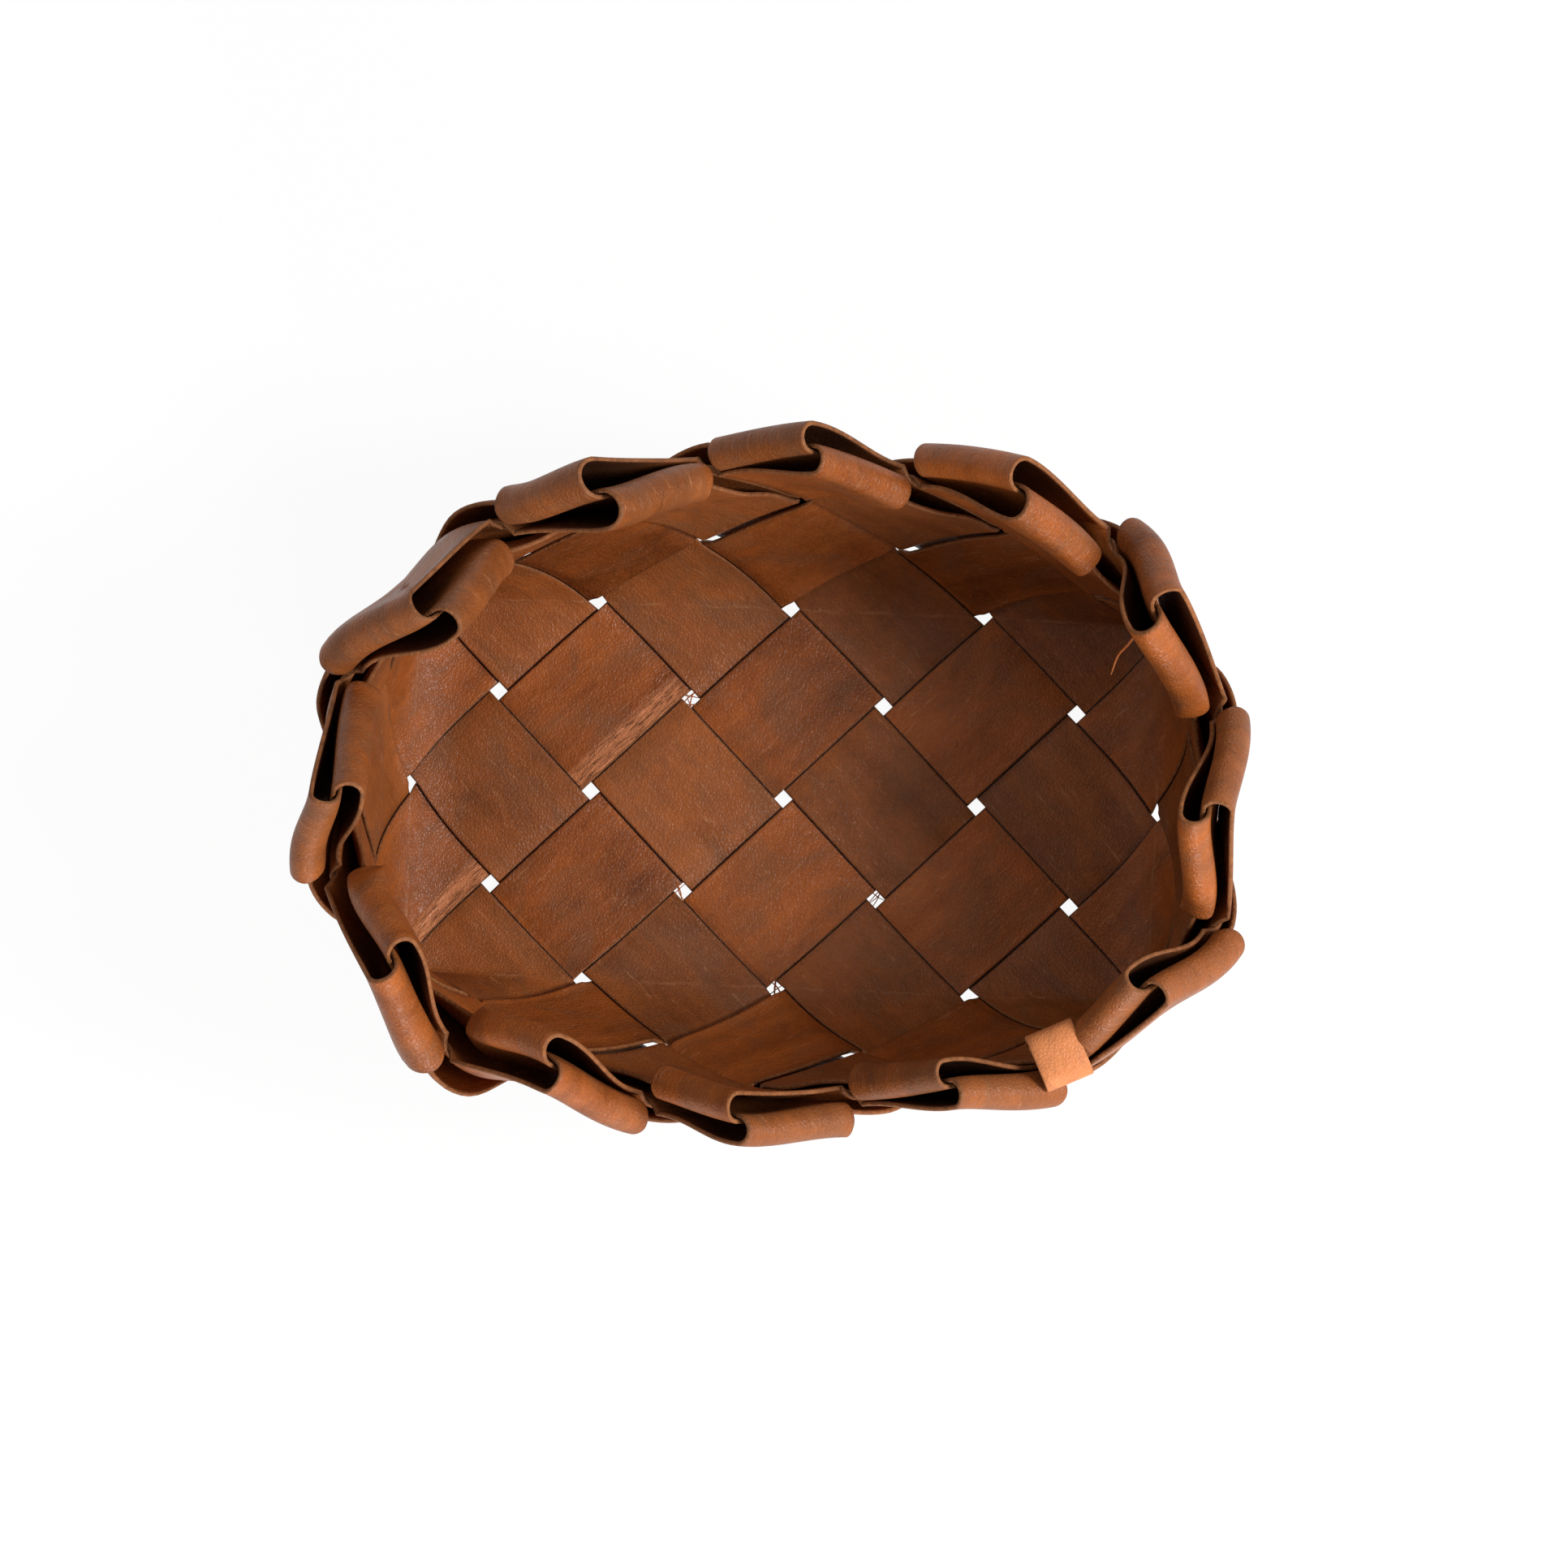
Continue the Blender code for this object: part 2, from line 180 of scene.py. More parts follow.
# How far the rim leans away from an even round, in metres, at each peak and valley clockwise from
# the top's middle peak. A valley lies lower, at 0.76 of the lean's growth, and its gain makes up
# for that.
LEAN = np.array((
    (0.0026, 0.0050), (0.0012, 0.0030), (0.0034, 0.0034), (0.0034, 0.0042),
    (-0.0058, 0.0022), (0.0012, 0.0020), (-0.0046, 0.0014), (0.0038, -0.0007),
    (0.0017, 0.0059), (0.0001, -0.0016), (-0.0021, 0.0040), (-0.0007, 0.0027),
    (-0.0029, -0.0034), (0.0007, -0.0024), (0.0031, 0.0028), (0.0010, -0.0036),
    (0.0052, -0.0029), (-0.0023, -0.0056), (0.0020, -0.0130), (-0.0009, -0.0070),
    (0.0072, -0.0150), (0.0025, -0.0071), (0.0012, -0.0057), (0.0022, 0.0028),
))
VALLEY_GAIN = 1 / 0.76
LEAN[1::2] *= VALLEY_GAIN
LEAN_START, LEAN_RUN = 0.4, 1.6

# Places where the whole wall stands out: place round, cells up the slope and metres
WALL_BULGES = (
    (10.20, 1.30, 0.0095), (9.30, 1.15, 0.0040), (7.36, 1.25, 0.0080), (4.12, 1.25, 0.0045),
    (3.40, 1.20, 0.0025), (6.45, 1.10, 0.0020),
)
BULGE_WIDTH, BULGE_HEIGHT = 0.42, 0.38
OUTWARD_ROUNDING = 1.8


def wall_bulge(u, v):
    amount = np.zeros_like(u)
    for place, level, most in WALL_BULGES:
        offset = way_round(u, place)
        amount += most * np.exp(-(offset / BULGE_WIDTH) ** 2 - ((v - level) / BULGE_HEIGHT) ** 2)
    rim_x, rim_y = rim_point(u)
    out = np.stack((rim_x / BASE_X ** 2, rim_y / BASE_Y ** 2 / OUTWARD_ROUNDING), axis=-1)
    return out / np.linalg.norm(out, axis=-1, keepdims=True) * amount[..., None]


def lean(u, v):
    """Uneven lean of the rim, smooth round it and growing up the wall."""
    place = (2 * u) % len(LEAN)
    low = np.floor(place).astype(int) % len(LEAN)
    mix = smooth(place - np.floor(place))[..., None]
    moved = LEAN[low] * (1 - mix) + LEAN[(low + 1) % len(LEAN)] * mix
    return moved * smooth((v - LEAN_START) / LEAN_RUN)[..., None]


def surface(x, y, side):
    """Middle surface of the basket at flat lattice point x, y, unfolded past one side.

    v is the distance past the base's edge, and u the place round the wall, both in cells."""
    out = OUTWARD[side]
    reach = BASE_X if out[0] else BASE_Y
    v = x * out[0] + y * out[1] - reach
    u = MIDDLE[side] + x * out[1] - y * out[0]
    up = np.maximum(v, 0.0)
    on_wall = v > 0
    wall_x, wall_y = plan_point(u, up)
    px = np.where(on_wall, wall_x, x)
    py = np.where(on_wall, wall_y, y)
    pz = np.where(on_wall, wall_height(u, up), 0.0)
    offset, corner_x, corner_y = nearest_corner(u)[:3]
    past_corner = np.hypot(offset, up)
    on_end = on_wall & (np.abs(u % HALF_ROUND - MIDDLE["right"]) < BASE_Y)
    far_end = np.where(on_wall, np.where(on_end, up, past_corner), np.abs(BASE_X - np.abs(x)))
    far_side = np.where(on_wall, np.where(on_end, past_corner, up), np.abs(BASE_Y - np.abs(y)))
    end_sign = np.where(on_wall, np.sign(corner_x), np.sign(x))
    side_sign = np.where(on_wall, np.sign(corner_y), np.sign(y))
    end_amount = edge_blend(far_end)
    side_amount = edge_blend(far_side)
    px = px - (1 - END_START_SLOPE) * end_amount * end_sign
    py = py - (1 - SIDE_START_SLOPE) * side_amount * side_sign
    pz = pz + end_amount * math.sqrt(1 - END_START_SLOPE ** 2)
    pz = pz + side_amount * math.sqrt(1 - SIDE_START_SLOPE ** 2)
    place = np.stack((px, py, pz), axis=-1) * CELL
    place[..., 2] += BASE_LEVEL
    place[..., :2] += lean(u, v) + wall_bulge(u, v)
    return place


# Step in cells over which the surface's slope is taken
PROBE = 2e-3


def skin(x, y, side, lift):
    """Point off the middle surface, by a lift toward the basket's inside."""
    across = surface(x + PROBE, y, side) - surface(x - PROBE, y, side)
    along = surface(x, y + PROBE, side) - surface(x, y - PROBE, side)
    normal = np.cross(across, along)
    normal /= np.linalg.norm(normal, axis=-1, keepdims=True)
    return surface(x, y, side) + normal * lift[..., None]


# One strip's line over the base

def chord(rising, shift):
    """Start, direction and ends of a strip's middle line, each end with the side it leaves by."""
    slope = 1 if rising else -1
    start = np.array((-shift / 2 if rising else shift / 2, shift / 2))
    direction = np.array((1.0, slope)) / math.sqrt(2)
    end_run = (BASE_X - start[0]) / direction[0]
    end_back = (-BASE_X - start[0]) / direction[0]
    side_run = (slope * BASE_Y - start[1]) / direction[1]
    side_back = (-slope * BASE_Y - start[1]) / direction[1]
    leave = min((end_run, "right"), (side_run, "top" if rising else "bottom"))
    enter = max((end_back, "left"), (side_back, "bottom" if rising else "top"))
    return start, direction, enter, leave


def outer_fold(rising, side):
    """Whether the strip's end rolls over outward at this side. The other ends roll inward."""
    return (side in ("left", "right")) == rising


def wall_place(start, direction, reach, side):
    """The place round the wall, in cells, where the strip's middle line meets its rim."""
    past = reach + ROLL_CELL / math.sqrt(2) * (1 if reach > 0 else -1)
    x, y = start + direction * past
    out = OUTWARD[side]
    return (MIDDLE[side] + x * out[1] - y * out[0]) % ROUND_CELLS


class Noise:
    """Seeded random values for crowns, small unevenness, tones and fibres."""

    def __init__(self, seed):
        self.random = np.random.default_rng(seed)

    def pick(self, low, high, shape=None):
        return self.random.uniform(low, high, shape)


# Each rim unit's shapes in metres, clockwise from the top: how deep its two rolls are at the peak
# and at the valleys, how far its outward end is turned out and its inward end in, and how far the
# tail that shows outside and the one that shows inside stand off the wall
ROLL_AT_PEAK = (
    0.0109, 0.0095, 0.0095, 0.0076, 0.0076, 0.0072, 0.0083, 0.0087, 0.0085, 0.0077, 0.0094, 0.0108,
)
ROLL_AT_VALLEY = (
    0.0094, 0.0085, 0.0088, 0.0080, 0.0085, 0.0095, 0.0088, 0.0086, 0.0104, 0.0088, 0.0098, 0.0094,
)
TURN_OUT = (
    0.0080, 0.0020, 0.0010, 0.0, 0.0018, 0.0, 0.0028, 0.0010, 0.0018, 0.0034, 0.0014, 0.0020,
)
TURN_IN = (
    0.0010, 0.0055, 0.0040, 0.0035, 0.0005, 0.0, 0.0034, 0.0080, 0.0060, 0.0020, 0.0045, 0.0005,
)
OUTER_BULGE = (
    0.0020, 0.0020, 0.0025, 0.0035, 0.0005, 0.0015, 0.0020, 0.0020, 0.0060, 0.0025, 0.0030, 0.0034,
)
INNER_BULGE = (
    0.0030, 0.0022, 0.0015, 0.0020, 0.0010, 0.0020, 0.0015, 0.0030, 0.0015, 0.0025, 0.0020, 0.0030,
)

# The mesh's rows in each cell, close together where strips cross at the gaps, and its columns
GAP_ROWS = np.array((
    0.4533, 0.4565, 0.4595, 0.463, 0.475, 0.49, 0.51, 0.525, 0.537, 0.5405, 0.5435, 0.5467,
))
LEVEL_ROWS = np.linspace(-ROW_REACH, ROW_REACH, 12)
CELL_ROWS = np.concatenate((LEVEL_ROWS, GAP_ROWS))
CLIMB_ROWS, ARC_ROWS, TAIL_ROWS, TIP_ROWS = 14, 18, 34, 8
TOP_COLUMNS = 17
EDGE_COLUMNS = 3
CUT_ROUNDING = 0.0005
COLUMN_INSET = 0.05

# Where the roll swells up, where its turn begins, where the tail's bulge and step are, and how
# its tip tapers, in pitches past the base's edge
SWELL_START = 2.62
TURN_RUN = 0.9
BULGE_MIDDLE = 2.14
BULGE_ABOVE, BULGE_BELOW = 0.52, 0.27
STEP_PLACE, STEP_RUN = 2.565, 0.13
TURN_TAIL_START, TURN_TAIL_RUN = 1.65, 0.85
TAIL_END = TAIL_CELL - 0.40
TIP_END = TUCK_CELL + HALF_SHARE - 0.10
TIP_DROP_START, TIP_DROP_RUN = TUCK_CELL + HALF_SHARE + 0.115, 0.125
TIP_LEVEL = 0.05
TIP_TAPER, TIP_THINNING_REACH = 0.28, 1.6

# Levels off the middle surface, in layers, by cells past the base's edge
END_LEVELS = {0: 0.5, 1: -1.0, 2: 0.5, 3: -1.5}

# How far past the base's edge the leather stays pressed thin, and over what way it grows to its
# full thickness, in pitches
PRESSED_END, PRESSED_FADE = 0.45, 0.1

# How far a cell's middle swells, in metres, and how the rolls' sizes vary
BASE_CROWN = 0.0001, 0.0004
WALL_CROWN = 0.0002
CROWN_REACH = 0.46
ROLL_SIZES = 0.97, 1.04


def body_lift(place, levels, crowns, share):
    """Lift along the woven run: level cells joined by long slopes, with edges turned up off the
    slopes of the strips that they cross, so that seams stay crisp."""
    cell = np.floor(place + 0.5)
    off = place - cell
    low_cell = np.where(off >= 0, cell, cell - 1)
    step = smooth((place - low_cell - SLOPE_START) / SLOPE_RUN)
    first, last = min(levels), max(levels)
    table = np.array([levels[key] for key in range(first, last + 1)])
    low = table[(np.clip(low_cell, first, last) - first).astype(int)]
    high = table[(np.clip(low_cell + 1, first, last) - first).astype(int)]
    lift = low + (high - low) * step
    crown_table = np.array([crowns[key] for key in range(first, last + 1)])
    here = (np.clip(cell, first, last) - first).astype(int)
    crown = crown_table[here] * np.sign(table[here])
    lift = lift + crown * np.clip(1 - (off / CROWN_REACH) ** 2, 0, 1) * (1 - share ** 2)
    nearness = 1 - 2 * smooth((np.abs(off) - SLOPE_START) / SLOPE_RUN)
    flare = 2 * smooth((abs(share) * HALF_SHARE - SLOPE_START) / SLOPE_RUN)
    return lift + table[here] * flare * np.clip(2 * nearness, 0, 1)


def end_run(share, peak_depth, valley_depth, turn_own, turn_other, bulge):
    """From the rim cell's near edge out over the roll and back down the tail.

    share runs from -1 at the valley's edge to 1 at the peak's. Returns the distance past the
    base's edge in pitches, the lift, the thickness and the width's share."""
    depth = (peak_depth + valley_depth) / 2 + (peak_depth - valley_depth) / 2 * share
    low = END_LEVELS[ROLL_CELL] * LAYER
    roll = (depth + LAYER / 2) / 2
    centre = (LAYER / 2 - depth) / 2
    valley_share = (1 - share) / 2

    def turning(place):
        return np.clip((place - ROLL_CELL + TURN_RUN / 2) / TURN_RUN, 0, 1)

    def turned(place):
        return -turn_own * valley_share * turning(place)

    out = []
    top = ROLL_CELL + ROLL_CENTRE
    place = np.linspace(ROLL_CELL - ROW_REACH, top, CLIMB_ROWS)
    swell = smooth((place - SWELL_START) / (top - SWELL_START))
    out.append(np.stack((place, low - (depth + low) * swell + turned(place)), axis=1))
    angle = np.linspace(0, math.pi, ARC_ROWS + 2)[1:-1]
    place = top + roll * np.sin(angle) / PITCH
    out.append(np.stack((place, centre - roll * np.cos(angle) + turned(place)), axis=1))
    back = np.linspace(top, TAIL_END, TAIL_ROWS)
    rise = LAYER / 2 + LAYER * smooth((STEP_PLACE - back) / STEP_RUN) + turned(back)
    leaning = turn_other * (1 - turning(back)) * (1 - valley_share)
    rise = rise + leaning * smooth((back - TURN_TAIL_START) / TURN_TAIL_RUN)
    spread = np.where(back > BULGE_MIDDLE, BULGE_ABOVE, BULGE_BELOW)
    rise = rise + bulge * np.exp(-((back - BULGE_MIDDLE) / spread) ** 2) * (1 - valley_share)
    out.append(np.stack((back, rise), axis=1))
    tip = np.linspace(TAIL_CELL - ROW_REACH, TIP_END, TIP_ROWS)
    drop = smooth((TIP_DROP_START - tip) / TIP_DROP_RUN)
    high = 1.5 * LAYER
    out.append(np.stack((tip, high + (TIP_LEVEL * LAYER - high) * drop), axis=1))
    line = np.vstack(out)
    thickness = np.full(len(line), LEATHER)
    width = np.ones(len(line))
    thinning = smooth(np.linspace(0, TIP_THINNING_REACH, TIP_ROWS))
    thickness[-TIP_ROWS:] = LEATHER + (TIP_THICKNESS - LEATHER) * thinning
    width[-TIP_ROWS:] = 1 - TIP_TAPER * smooth(np.linspace(0, 1, TIP_ROWS))
    return line, thickness, width


def section(flat, tops):
    """Points round a band's cut, as share across, height share and whether on a cut edge."""
    turn = np.linspace(math.pi / 2, -math.pi / 2, EDGE_COLUMNS + 2)[1:-1]
    points = [(share, 1.0, 0.0) for share in tops]
    points += [(flat + (1 - flat) * math.cos(a), math.sin(a), 1.0) for a in turn]
    points += [(share, -1.0, 0.0) for share in tops[::-1]]
    points += [(-flat - (1 - flat) * math.cos(a), -math.sin(a), 1.0) for a in turn]
    return np.array(points)


def strip_section():
    flat = 1 - 2 * CUT_ROUNDING / STRIP_WIDTH
    tops = np.linspace(-flat, flat, TOP_COLUMNS)
    first, last = tops[:1], tops[-1:]
    tops = np.concatenate((first, first + COLUMN_INSET, tops[1:-1], last - COLUMN_INSET, last))
    return section(flat, tops)


SECTION = strip_section()

# Marks for the leather's look: the strip with a wrinkled band, where it runs, over what way the
# inside of a roll turns dark, how far out seams have a shadow and how wide it is, in pitches or
# shares of the half width
WRINKLED = (True, 4)
WRINKLE_EDGE, WRINKLE_BLEND = 0.60, 0.14
WRINKLE_START, WRINKLE_END, WRINKLE_FADE = -0.6, 2.6, 0.2
HOLLOW_RUN = 0.45
SEAM_END, SEAM_REACH, SEAM_FADE = 2.5, 0.017, 0.010


def strip_levels(cells, signs):
    """Lift of each cell along a strip, in turn over and under, with both ends' own levels."""
    levels = {}
    for cell in range(-ROLL_CELL, cells + ROLL_CELL + 1):
        past = -cell if cell < 0 else max(cell - cells, 0)
        end = signs[-1] if cell <= 0 else signs[1]
        if cell <= 0 or cell >= cells:
            levels[cell] = end * END_LEVELS[past] * (PRESSED_LAYER if past == 0 else LAYER)
        else:
            levels[cell] = signs[-1] * (-1) ** cell * PRESSED_LAYER / 2
    return levels


def strip_rows(cells):
    """Places of the woven run's rows, from the last gap before one roll to the other's."""
    rows = [-(TAIL_CELL + GAP_ROWS[::-1])]
    rows += [cell + CELL_ROWS for cell in range(-TAIL_CELL, cells + TAIL_CELL)]
    rows += [cells + TAIL_CELL + LEVEL_ROWS, cells + TAIL_CELL + GAP_ROWS]
    return np.concatenate(rows)


def strip_grid(rising, index):
    """All points of one strip, rows along by points round its cut, with its marks."""
    shift = index - (PER_WAY - 1) / 2
    start, direction, enter, leave = chord(rising, shift)
    across = np.array((-direction[1], direction[0]))
    noise = Noise(100 * index + (7 if rising else 3))
    cells = round((leave[0] - enter[0]) * math.sqrt(2))
    signs = {way: 1 if outer_fold(rising, end[1]) else -1 for way, end in ((-1, enter), (1, leave))}
    levels = strip_levels(cells, signs)
    crowns = {cell: noise.pick(*BASE_CROWN) for cell in levels}
    crowns.update({cell: WALL_CROWN for cell in levels if cell < 0 or cell > cells})
    inner_rows = strip_rows(cells)
    scales = {way: noise.pick(*ROLL_SIZES) for way in (-1, 1)}
    level_first = min(levels)
    level_table = np.array([levels[key] for key in range(level_first, max(levels) + 1)])
    faces = []
    looks = {"edge": [], "hollow": [], "seam": [], "across": [], "rise": [], "wrinkle": []}
    for share, height, on_edge in SECTION:
        # The line through this point of the cut, from one tail's tip to the other's
        ends = {}
        for way, (reach, side) in ((-1, enter), (1, leave)):
            outer = outer_fold(rising, side)
            peak = share * way * (-1 if outer else 1)
            unit = round(wall_place(start, direction, reach, side)) % ROUND_CELLS
            turns = (TURN_OUT[unit], TURN_IN[unit])
            line, thick, width = end_run(
                peak, ROLL_AT_PEAK[unit] * scales[way], ROLL_AT_VALLEY[unit] * scales[way],
                *(turns if outer else turns[::-1]), (INNER_BULGE if outer else OUTER_BULGE)[unit],
            )
            line[:, 1] *= signs[way]
            ends[way] = (line, thick, width)
        first, first_thick, first_width = ends[-1]
        last, last_thick, last_width = ends[1]
        body = np.stack((inner_rows, body_lift(inner_rows, levels, crowns, share)), axis=1)
        head = np.stack((-first[::-1, 0], first[::-1, 1]), axis=1)
        tail = np.stack((cells + last[:, 0], last[:, 1]), axis=1)
        line = np.vstack((head, body, tail))
        past_base = np.maximum(-inner_rows, inner_rows - cells)
        unpressed = smooth((past_base - PRESSED_END) / PRESSED_FADE)
        body_thick = PRESSED + (LEATHER - PRESSED) * unpressed
        thick = np.concatenate((first_thick[::-1], body_thick, last_thick))
        width = np.concatenate((first_width[::-1], np.ones(len(body)), last_width))

        # Its points, lifted off the middle surface by half the leather
        flat = np.stack((line[:, 0] * PITCH, line[:, 1]), axis=1)
        slope = np.gradient(flat, axis=0)
        slope /= np.maximum(np.linalg.norm(slope, axis=1, keepdims=True), 1e-9)
        normal = np.stack((-slope[:, 1], slope[:, 0]), axis=1)
        face = flat + normal * (thick * height / 2)[:, None]
        along = enter[0] + face[:, 0] / CELL
        sideways = share * width * HALF_SHARE / math.sqrt(2)
        x = start[0] + direction[0] * along + across[0] * sideways
        y = start[1] + direction[1] * along + across[1] * sideways
        middle = (enter[0] + leave[0]) / 2
        near = skin(x, y, enter[1], face[:, 1])
        far = skin(x, y, leave[1], face[:, 1])
        faces.append(np.where((along < middle)[:, None], near, far))

        # Its marks
        place = line[:, 0]
        past = np.maximum(-place, place - cells)
        turned = np.where(place < cells / 2, signs[-1], signs[1]) * height > 0
        hollow = smooth((past - SWELL_START) / HOLLOW_RUN) * turned
        cell = np.round(place)
        here = np.clip(cell - level_first, 0, len(level_table) - 1).astype(int)
        on_body = np.zeros(len(line), dtype=bool)
        on_body[len(first_width):len(first_width) + len(body)] = True
        covered = (level_table[here] * height < 0) & (past < SEAM_END) & on_body
        seam = smooth((HALF_SHARE + SEAM_REACH - np.abs(place - cell)) / SEAM_FADE) * covered
        wrinkle = np.zeros(len(line))
        if (rising, index) == WRINKLED:
            wrinkle += smooth((-share - WRINKLE_EDGE) / WRINKLE_BLEND)
            wrinkle *= smooth((place - WRINKLE_START) / WRINKLE_FADE)
            wrinkle *= smooth((WRINKLE_END - place) / WRINKLE_FADE)
        looks["edge"].append(np.full(len(line), on_edge))
        looks["hollow"].append(hollow * (1 - on_edge))
        looks["seam"].append(seam * (1 - on_edge))
        looks["across"].append(np.full(len(line), abs(share)))
        looks["rise"].append(np.maximum(np.abs(x) - BASE_X, np.abs(y) - BASE_Y))
        looks["wrinkle"].append(wrinkle)
        if abs(share) < 1 / TOP_COLUMNS and height > 0:
            rows_along = lengths(flat)
            rows_cell = np.clip(cell, -ROLL_CELL, cells + ROLL_CELL).astype(int) + ROLL_CELL
    looks = {look: np.stack(values, axis=1) for look, values in looks.items()}
    return np.stack(faces, axis=1), looks, rows_along, rows_cell


def lengths(line):
    """Length along a line of points, up to each of them."""
    return np.concatenate(([0.0], np.cumsum(np.linalg.norm(np.diff(line, axis=0), axis=1))))


def build_strip(name, grid, looks, along, tone, material, node):
    rows, around = grid.shape[:2]
    ring = grid[rows // 2]
    girth = lengths(ring)
    girth = np.concatenate((girth, [girth[-1] + np.linalg.norm(ring[-1] - ring[0])]))
    index = np.arange(rows * around).reshape(rows, around)
    nxt = np.roll(index, -1, axis=1)
    quads = np.stack((index[:-1], nxt[:-1], nxt[1:], index[1:]), axis=-1).reshape(-1, 4)
    faces = [tuple(map(int, quad)) for quad in quads]
    faces.append(tuple(map(int, index[0][::-1])))
    faces.append(tuple(map(int, index[-1])))
    mesh = bpy.data.meshes.new(name)
    mesh.from_pydata(grid.reshape(-1, 3).tolist(), [], faces)
    mesh.update()
    for look, values in looks.items():
        layer = mesh.attributes.new(look, "FLOAT", "POINT")
        layer.data.foreach_set("value", values.reshape(-1).astype(np.float32))
    shade = mesh.attributes.new("tone", "FLOAT", "POINT")
    shade.data.foreach_set("value", np.repeat(tone, around).astype(np.float32))
    uv = mesh.uv_layers.new(name="strip")
    corner = np.zeros((len(mesh.loops), 2), dtype=np.float32)
    row = np.repeat(np.arange(rows - 1), around)
    column = np.tile(np.arange(around), rows - 1)
    for k, (dr, dc) in enumerate(((0, 0), (0, 1), (1, 1), (1, 0))):
        corner[k:4 * len(quads):4, 0] = along[row + dr]
        corner[k:4 * len(quads):4, 1] = girth[column + dc]
    corner[4 * len(quads):, 0] = along[0]
    shift_along, shift_across = pattern_shift(name)
    corner[:, 0] += shift_along
    corner[:, 1] += shift_across
    uv.data.foreach_set("uv", corner.reshape(-1))
    mesh.shade_smooth()
    mesh.materials.append(material)
    piece = bpy.data.objects.new(name, mesh)
    bpy.context.collection.objects.link(piece)
    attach(piece, "root")
    if node:
        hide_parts(node)


def pattern_shift(name):
    """Where in the leather's pattern a piece is cut from, taken from its name."""
    number = sum((place + 1) * ord(letter) for place, letter in enumerate(name))
    return (number % 97) * 0.131, (number % 89) * 0.173


# Leather

GREY_CAST = (0.140, 0.066, 0.033)
SCUFF = (0.46, 0.21, 0.095)
NICK = (0.05, 0.017, 0.008)
# Painted shade for the wrinkles' furrows and painted highlight for their ridges
FURROW_SHADE, FURROW_HIGHLIGHT = (0.050, 0.016, 0.006), (0.52, 0.190, 0.078)
CREASE = (0.34, 0.145, 0.062)
# Painted shade along the strips' long borders
BORDER_SHADE = (0.050, 0.020, 0.010)
SEAM_SHADOW = (0.014, 0.006, 0.004)
HOLLOW_SHADOW = (0.026, 0.012, 0.007)
MIDDLE_TONE = 0.61


def empty_material(name):
    """A material with an output and nothing else."""
    material = bpy.data.materials.new(name)
    material.use_nodes = True
    nodes, links = material.node_tree.nodes, material.node_tree.links
    nodes.clear()
    return material, nodes, links, nodes.new("ShaderNodeOutputMaterial")


